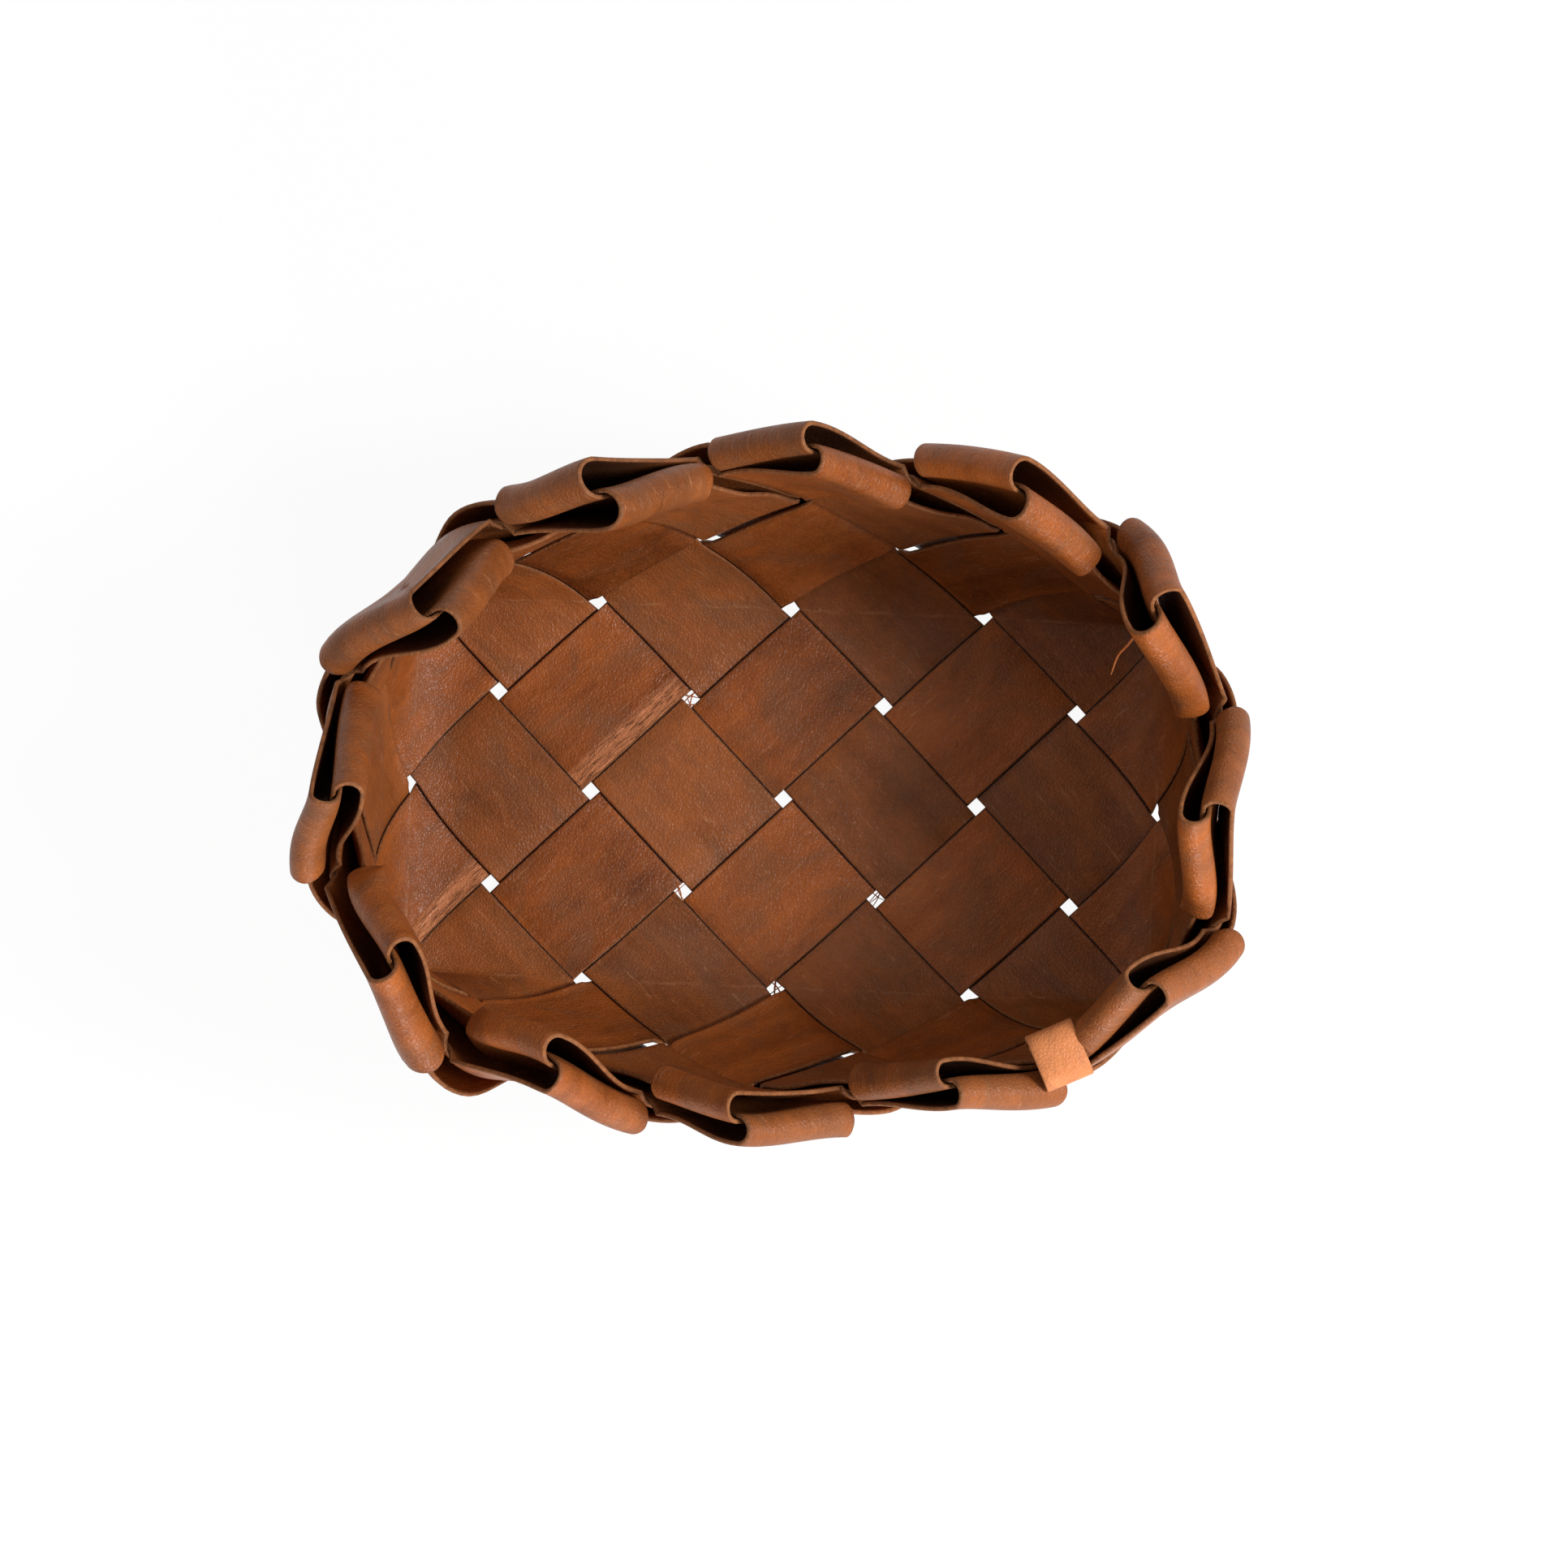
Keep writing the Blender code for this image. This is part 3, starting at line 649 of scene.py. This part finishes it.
def leather(name, deep, light, edge_colour, roughness):
    material, nodes, links, output = empty_material(name)
    shader = nodes.new("ShaderNodeBsdfPrincipled")
    links.new(shader.outputs[0], output.inputs[0])
    shader.inputs["Specular IOR Level"].default_value = 0.22
    uv = nodes.new("ShaderNodeUVMap")
    uv.uv_map = "strip"

    def mapped(scale):
        mapping = nodes.new("ShaderNodeMapping")
        mapping.inputs["Scale"].default_value = scale
        links.new(uv.outputs[0], mapping.inputs[0])
        return mapping.outputs[0]

    def noise(scale, detail=4.0, rough=0.55, distortion=0.0):
        node = nodes.new("ShaderNodeTexNoise")
        node.inputs["Scale"].default_value = 1.0
        node.inputs["Detail"].default_value = detail
        node.inputs["Roughness"].default_value = rough
        node.inputs["Distortion"].default_value = distortion
        links.new(mapped(scale), node.inputs["Vector"])
        return node.outputs["Fac"]

    def math_node(operation, a, b=0.5, clamp=False):
        node = nodes.new("ShaderNodeMath")
        node.operation = operation
        node.use_clamp = clamp
        for socket, value in zip(node.inputs, (a, b)):
            if isinstance(value, (int, float)):
                socket.default_value = value
            else:
                links.new(value, socket)
        return node.outputs[0]

    def ramp(value, low, high):
        node = nodes.new("ShaderNodeMapRange")
        node.inputs["From Min"].default_value = low
        node.inputs["From Max"].default_value = high
        links.new(value, node.inputs["Value"])
        return node.outputs[0]

    def mixed(amount, a, b):
        node = nodes.new("ShaderNodeMix")
        node.data_type = "RGBA"
        factor, first, second = node.inputs[0], node.inputs[6], node.inputs[7]
        for socket, value in ((factor, amount), (first, a), (second, b)):
            if isinstance(value, tuple):
                socket.default_value = (*value, 1.0)
            else:
                links.new(value, socket)
        return node.outputs[2]

    def mark(look):
        node = nodes.new("ShaderNodeAttribute")
        node.attribute_name = look
        return node.outputs["Fac"]

    def times(a, b):
        return math_node("MULTIPLY", a, b)

    def plus(a, b):
        return math_node("ADD", a, b)

    def swing(value, amount):
        """Swing of a value about its middle."""
        return times(math_node("SUBTRACT", value, 0.5), amount)

    tone, edge, hollow, seam = mark("tone"), mark("edge"), mark("hollow"), mark("seam")
    across, rise, wrinkle = mark("across"), mark("rise"), mark("wrinkle")

    # Tone from five scales of pattern, then patches, scuffs, nicks and the wrinkled band's painted
    # shade and highlight
    cloud = ramp(noise((30, 44, 1), 4.0, 0.62, 0.8), 0.28, 0.72)
    streak = ramp(noise((7, 95, 1), 2.0, 0.5, 0.2), 0.30, 0.70)
    blotch = ramp(noise((150, 180, 1), 6.0, 0.72, 0.6), 0.28, 0.72)
    fine = ramp(noise((1100, 1300, 1), 4.0, 0.75), 0.25, 0.75)
    hairs = ramp(noise((420, 1900, 1), 3.0, 0.6, 1.5), 0.35, 0.65)
    value = times(cloud, 0.30)
    for part, share in ((streak, 0.22), (blotch, 0.22), (fine, 0.26), (hairs, 0.14)):
        value = plus(value, times(part, share))
    value = math_node("ADD", value, math_node("SUBTRACT", tone, MIDDLE_TONE), clamp=True)
    colour = mixed(value, deep, light)
    dull = ramp(noise((40, 52, 1), 5.0, 0.65, 1.0), 0.46, 0.66)
    colour = mixed(times(dull, 0.42), colour, GREY_CAST)
    scuff = ramp(noise((140, 1100, 1), 2.0, 0.5, 1.2), 0.64, 0.72)
    colour = mixed(times(scuff, 0.34), colour, SCUFF)
    nick = ramp(noise((260, 300, 1), 2.0, 0.5, 0.4), 0.72, 0.76)
    colour = mixed(times(nick, 0.45), colour, NICK)
    furrow = ramp(noise((110, 2300, 1), 3.0, 0.6, 1.6), 0.36, 0.52)
    # Painted shade in the wrinkled band's furrows and painted highlight on its ridges
    colour = mixed(times(wrinkle, 0.90), colour, mixed(furrow, FURROW_SHADE, FURROW_HIGHLIGHT))

    # A worn crease where the strip bends up off the base
    crease = math_node("ABSOLUTE", plus(rise, swing(noise((130, 130, 1), 4.0, 0.7), 0.05)))
    crease = math_node("SUBTRACT", 1.0, ramp(crease, 0.004, 0.014))
    crease = times(crease, ramp(noise((60, 90, 1), 3.0, 0.6), 0.42, 0.60))
    colour = mixed(times(crease, 0.40), colour, CREASE)

    # Painted shade along borders, the cut edges' own colour, and painted shadow at seams and inside
    # rolls
    border_shade = ramp(plus(across, swing(blotch, 0.02)), 0.962, 0.994)
    colour = mixed(times(border_shade, 0.55), colour, BORDER_SHADE)
    edge_deep = tuple(channel * 0.55 for channel in edge_colour)
    edge_tone = mixed(ramp(noise((400, 400, 1), 2.0), 0.3, 0.7), edge_deep, edge_colour)
    colour = mixed(edge, colour, edge_tone)
    ragged = ramp(plus(seam, swing(blotch, 0.5)), 0.35, 0.75)
    colour = mixed(times(ragged, 0.92), colour, SEAM_SHADOW)
    colour = mixed(times(hollow, 0.80), colour, HOLLOW_SHADOW)
    links.new(colour, shader.inputs["Base Color"])
    rough = ramp(noise((45, 120, 1), 3.0, 0.6), 0.2, 0.8)
    rough = plus(times(rough, 0.20), roughness - 0.10)
    rough = plus(rough, times(edge, 0.22))
    links.new(rough, shader.inputs["Roughness"])

    # Grain
    pores = nodes.new("ShaderNodeTexVoronoi")
    pores.feature = "DISTANCE_TO_EDGE"
    pores.inputs["Scale"].default_value = 1.0
    links.new(mapped((800, 800, 1)), pores.inputs["Vector"])
    grain = times(ramp(pores.outputs["Distance"], 0.0, 0.25), 0.6)
    grain = plus(grain, times(noise((350, 420, 1), 4.0, 0.6), 1.3))
    grain = plus(grain, noise((24, 380, 1), 2.0, 0.5))
    grain = plus(grain, times(times(furrow, wrinkle), 2.5))
    grain = plus(grain, times(crease, -1.2))
    bump = nodes.new("ShaderNodeBump")
    bump.inputs["Strength"].default_value = 0.50
    bump.inputs["Distance"].default_value = 0.00035
    links.new(grain, bump.inputs["Height"])
    links.new(bump.outputs[0], shader.inputs["Normal"])
    return material


# Each leather's deep, light and cut edge colours and its roughness
BROWN = (0.088, 0.021, 0.004), (0.440, 0.116, 0.022), (0.27, 0.095, 0.030), 0.42
DARK = (0.078, 0.022, 0.006), (0.370, 0.106, 0.024), (0.25, 0.090, 0.030), 0.44
TAN = (0.42, 0.135, 0.045), (0.70, 0.250, 0.088), (0.62, 0.25, 0.10), 0.50
brown = leather("brown_leather_look", *BROWN)
dark = leather("dark_leather_look", *DARK)
tan = leather("tan_leather_look", *TAN)

# Tone of each rising and falling strip, and how far it varies from cell to cell
STRIP_TONES = {
    True: (0.50, 0.62, 0.56, 0.44, 0.46, 0.42),
    False: (0.54, 0.52, 0.60, 0.54, 0.50, 0.50),
}
TONE_SWING = 0.11
TONES_DRAWN = 20

strip_points = []
for rising in (True, False):
    way, material = ("rising", brown) if rising else ("falling", dark)
    slot = "brown_leather" if rising else "dark_leather"
    for index in range(PER_WAY):
        name = f"{way}_strip_{index + 1}"
        grid, looks, along, cells = strip_grid(rising, index)
        strip_points.append(grid.reshape(-1, 3))
        noise = Noise(900 + 10 * index + rising)
        tone = STRIP_TONES[rising][index] + noise.pick(-TONE_SWING, TONE_SWING, TONES_DRAWN)[cells]
        build_strip(name + "_leather", grid, looks, along, tone, material, name)


# Loose fibres at some gaps and one loose thread under the rim

def fibre(name, points, radius, tone, material):
    """A thin round fibre along a few points, tapering to its end."""
    points = np.array(points)
    stops = np.arange(len(points))
    spread = np.linspace(0, len(points) - 1, 4 * len(points))
    line = np.stack([np.interp(spread, stops, points[:, axis]) for axis in range(3)], axis=1)
    for _ in range(2):
        line[1:-1] = (line[:-2] + 2 * line[1:-1] + line[2:]) / 4
    way = np.gradient(line, axis=0)
    way /= np.linalg.norm(way, axis=1, keepdims=True)
    side = np.cross(way, (0.0, 0.0, 1.0))
    side /= np.linalg.norm(side, axis=1, keepdims=True)
    over = np.cross(side, way)
    thick = radius * (1 - 0.5 * np.linspace(0, 1, len(line)) ** 2)
    turn = np.linspace(0, 2 * math.pi, 7)[:-1]
    ring = side[:, None] * np.cos(turn)[:, None] + over[:, None] * np.sin(turn)[:, None]
    grid = line[:, None] + ring * thick[:, None, None]
    looks = {"rise": np.ones(grid.shape[:2])}
    tones = np.full(len(line), tone)
    build_strip(name, grid, looks, lengths(line), tones, material, None)


# Gaps with fibres: place on the base in cells, how many, leather, slot and tone
FIBRE_HOLES = (
    (-0.5, 0.5, 5, brown, "brown_leather", 0.75), (0.5, -0.5, 4, brown, "brown_leather", 0.60),
    (-0.5, -0.5, 3, brown, "brown_leather", 0.85), (0.0, -1.0, 4, dark, "dark_leather", 0.65),
)

# A fibre's reach from the gap's middle, its turn off the straight way across in radians, its bend
# sideways, its rise in the middle and its thinnest and thickest radius, lengths in metres
HOLE_REACH = 0.0036
FIBRE_ASIDE = 0.9
FIBRE_BEND = 0.0008
FIBRE_RISE = 0.0004
FIBRE_RADII = 0.00012, 0.00028

all_points = np.concatenate(strip_points)


def nearest(point):
    point = np.array(point)
    return all_points[np.argmin(((all_points - point) ** 2).sum(axis=1))]


fibres = Noise(4242)
count = 0
for hole_x, hole_y, amount, material, slot, tone in FIBRE_HOLES:
    middle = skin(np.array([hole_x]), np.array([hole_y]), "top", np.zeros(1))[0]
    for _ in range(amount):
        count += 1
        angle = fibres.pick(0, 2 * math.pi)
        opposite = angle + math.pi + fibres.pick(-FIBRE_ASIDE, FIBRE_ASIDE)
        start, end = (
            nearest(middle + np.array((math.cos(turn), math.sin(turn), 0.0)) * HOLE_REACH)
            for turn in (angle, opposite)
        )
        aside = [fibres.pick(-FIBRE_BEND, FIBRE_BEND) for _ in range(2)]
        bend = (start + end) / 2 + np.array((*aside, FIBRE_RISE))
        radius = fibres.pick(*FIBRE_RADII)
        fibre(f"loose_fibre_{count}", (start, bend, end), radius, tone, material)

THREAD_START = (0.1085, 0.0500, 0.1170)
THREAD_RADIUS, THREAD_TONE = 0.00045, 0.80
thread_steps = np.array((
    (0.0, 0.0, 0.0), (-0.0022, -0.0030, -0.0030), (-0.0050, -0.0060, -0.0080),
    (-0.0066, -0.0118, -0.0130),
))
thread_line = nearest(THREAD_START) + thread_steps
fibre("loose_thread", thread_line, THREAD_RADIUS, THREAD_TONE, brown)


# Tan loop over the rim

TAN_LOOP_PLACE = 4.5
TAN_LOOP_HEIGHT = 1.5
TAN_PLACE = np.array((-0.0001, 0.0050, 0.0))
TAN_TURN = math.radians(3.0)
TAN_WIDTH, TAN_THICKNESS = 0.0158, 0.0015
TAN_RISE = (ROLL_CENTRE - HALF_SHARE) * PITCH + 0.0095
TAN_ROUNDING = 0.0004
TAN_COLUMNS, TAN_ARCH_ROWS, TAN_LEG_ROWS = 11, 20, 13
ARCH_FLATNESS, ARCH_SIDE_POWER, ARCH_TOP_POWER = 0.0030, 0.7, 0.75
LEG_PINCH = 0.0020
TAN_WAIST = 0.03
TAN_DIP = 0.0010
# The tan's own tone, and the swing and phase of painted shading that lightens and darkens it along
# the loop
TAN_TONE, TAN_SHADING_SWING = 0.45, 0.12
TAN_SHADING_HALF_TURNS = -0.6, 1.9

# The loop and its lining: half depth over the rim, shift outward and length of the legs
TAN_BANDS = (
    ("tan_loop_leather", 0.0085, 0.0, 0.0150), ("tan_loop_lining", 0.0067, 0.0016, 0.0120),
)


def tan_frame():
    """Middle of the loop on the wall, and its inward and sideways directions in plan."""
    x, y = HALF_ROUND - np.array([TAN_LOOP_PLACE]), -(BASE_Y + np.array([TAN_LOOP_HEIGHT]))
    zero = np.zeros(1)
    middle = skin(x, y, "bottom", zero)[0]
    inward = skin(x, y, "bottom", zero + 0.01)[0] - middle
    inward[2] = 0.0
    inward /= np.linalg.norm(inward)
    cosine, sine = math.cos(TAN_TURN), math.sin(TAN_TURN)
    inward = np.array((
        inward[0] * cosine - inward[1] * sine, inward[0] * sine + inward[1] * cosine, 0.0,
    ))
    return middle + TAN_PLACE, inward, np.array((-inward[1], inward[0], 0.0))


def tan_grid(radius, shift, leg):
    """A band bent over the rim's valley, with one leg inside and one outside."""
    middle, inward, sideways = tan_frame()
    middle = middle - inward * shift
    angle = np.linspace(0, math.pi, TAN_ARCH_ROWS)
    bow = np.abs(np.cos(angle)) ** ARCH_SIDE_POWER * np.sign(np.cos(angle))
    top = TAN_RISE + (radius - ARCH_FLATNESS) * np.sin(angle) ** ARCH_TOP_POWER
    down = np.linspace(-leg, 0.0, TAN_LEG_ROWS + 1)[:-1]
    inside = np.stack((TAN_RISE + down, radius - LEG_PINCH * smooth(-down / leg)), axis=1)
    line = np.vstack((inside, np.stack((top, radius * bow), axis=1), inside[::-1] * (1, -1)))
    flat = 1 - 2 * TAN_ROUNDING / TAN_WIDTH
    around = section(flat, np.linspace(-flat, flat, TAN_COLUMNS))
    slope = np.gradient(line, axis=0)
    slope /= np.linalg.norm(slope, axis=1, keepdims=True)
    normal = np.stack((-slope[:, 1], slope[:, 0]), axis=1)
    faces = []
    looks = {"edge": [], "across": []}
    waist = 1 - TAN_WAIST * np.sin(np.linspace(0, math.pi, len(line))) ** 2
    for share, height, on_edge in around:
        face = line + normal * height * TAN_THICKNESS / 2
        aside = share * waist * TAN_WIDTH / 2
        points = middle + inward * face[:, 1:2] + sideways * aside[:, None]
        points[:, 2] += face[:, 0] - TAN_DIP * share ** 2
        faces.append(points)
        looks["edge"].append(np.full(len(line), on_edge))
        looks["across"].append(np.full(len(line), abs(share)))
    looks = {look: np.stack(values, axis=1) for look, values in looks.items()}
    looks["rise"] = np.ones((len(line), len(around)))
    return np.stack(faces, axis=1), looks, lengths(line)


for name, radius, shift, leg in TAN_BANDS:
    grid, looks, along = tan_grid(radius, shift, leg)
    # Painted shading along the band
    painted_shading = np.cos(np.linspace(*TAN_SHADING_HALF_TURNS, len(along)) * math.pi)
    tone = TAN_TONE + TAN_SHADING_SWING * painted_shading
    build_strip(name, grid, looks, along, tone, tan, "tan_loop")


# Floor, lamps, world and camera

FLOOR_HALF_SIDE = 6.0
FLOOR_DROP = 0.0002
FLOOR_WHITE = (0.82, 0.82, 0.81, 1)
FLOOR_GLOW = 0.93
WHITE = (1, 1, 1, 1)


def floor_look():
    """A plain floor that takes shadows, and that rays see as a nearly white glow."""
    material, nodes, links, output = empty_material("floor_white")
    plain = nodes.new("ShaderNodeBsdfDiffuse")
    plain.inputs[0].default_value = FLOOR_WHITE
    glow = nodes.new("ShaderNodeEmission")
    glow.inputs[0].default_value = WHITE
    path = nodes.new("ShaderNodeLightPath")
    seen = path.outputs["Is Camera Ray"]
    for ray in ("Is Glossy Ray", "Is Transmission Ray"):
        either = nodes.new("ShaderNodeMath")
        either.operation = "MAXIMUM"
        links.new(seen, either.inputs[0])
        links.new(path.outputs[ray], either.inputs[1])
        seen = either.outputs[0]
    amount = nodes.new("ShaderNodeMath")
    amount.operation = "MULTIPLY"
    amount.inputs[1].default_value = FLOOR_GLOW
    links.new(seen, amount.inputs[0])
    mix = nodes.new("ShaderNodeMixShader")
    for socket, source in zip(mix.inputs, (amount, plain, glow)):
        links.new(source.outputs[0], socket)
    links.new(mix.outputs[0], output.inputs[0])
    return material


def make_floor():
    mesh = bpy.data.meshes.new("floor")
    side = FLOOR_HALF_SIDE
    corners = [(-side, -side, 0), (side, -side, 0), (side, side, 0), (-side, side, 0)]
    mesh.from_pydata(corners, [], [(0, 1, 2, 3)])
    mesh.materials.append(floor_look())
    floor = bpy.data.objects.new("floor", mesh)
    bpy.context.collection.objects.link(floor)
    floor.location.z = -FLOOR_DROP


make_floor()


# Each lamp's name, place, target, size in metres and power
LAMPS = (
    ("key", (1.25, -0.10, 1.25), (0, 0, 0.05), 0.6, 34),
    ("front", (0.40, -1.70, 0.60), (0, 0, 0.08), 0.7, 26),
    ("fill", (-1.1, 0.5, 1.5), (0, 0, 0.05), 1.2, 5),
)


def area_light(name, place, target, size, power):
    data = bpy.data.lights.new(name, "AREA")
    data.shape = "DISK"
    data.size = size
    data.energy = power
    lamp = bpy.data.objects.new(name, data)
    lamp.location = place
    lamp.rotation_euler = (Vector(target) - Vector(place)).to_track_quat("-Z", "Y").to_euler()
    bpy.context.collection.objects.link(lamp)


for lamp in LAMPS:
    area_light(*lamp)

WORLD_STRENGTH = 0.41
world = bpy.data.worlds.new("studio")
world.use_nodes = True
background = world.node_tree.nodes["Background"]
background.inputs[0].default_value = WHITE
background.inputs[1].default_value = WORLD_STRENGTH
bpy.context.scene.world = world

# The camera looks nearly straight down, tilted and rolled as little as the photo shows
CAMERA_DISTANCE = 1.5
TARGET = Vector((0.0, 0.005, 0.0))
METRES_PER_PIXEL = 0.000268
PHOTO_PIXELS = 1932
SENSOR = 36.0
tilt_x, tilt_y, roll = math.radians(1.2), math.radians(-2.2), math.radians(2.35)
away = Vector((math.tan(tilt_x), math.tan(tilt_y), 1.0)).normalized()
right_hint = Vector((math.cos(roll), math.sin(roll), 0.0))
up = away.cross(right_hint).normalized()
right = up.cross(away).normalized()
camera_data = bpy.data.cameras.new("camera")
camera_data.sensor_width = SENSOR
camera_data.lens = SENSOR * (CAMERA_DISTANCE / METRES_PER_PIXEL) / PHOTO_PIXELS
camera_data.clip_end = 20
camera = bpy.data.objects.new("camera", camera_data)
turn = Matrix((right, up, away)).transposed().to_4x4()
camera.matrix_world = Matrix.Translation(TARGET + away * CAMERA_DISTANCE) @ turn
bpy.context.collection.objects.link(camera)
bpy.context.scene.camera = camera
bpy.context.scene.view_settings.view_transform = "Standard"
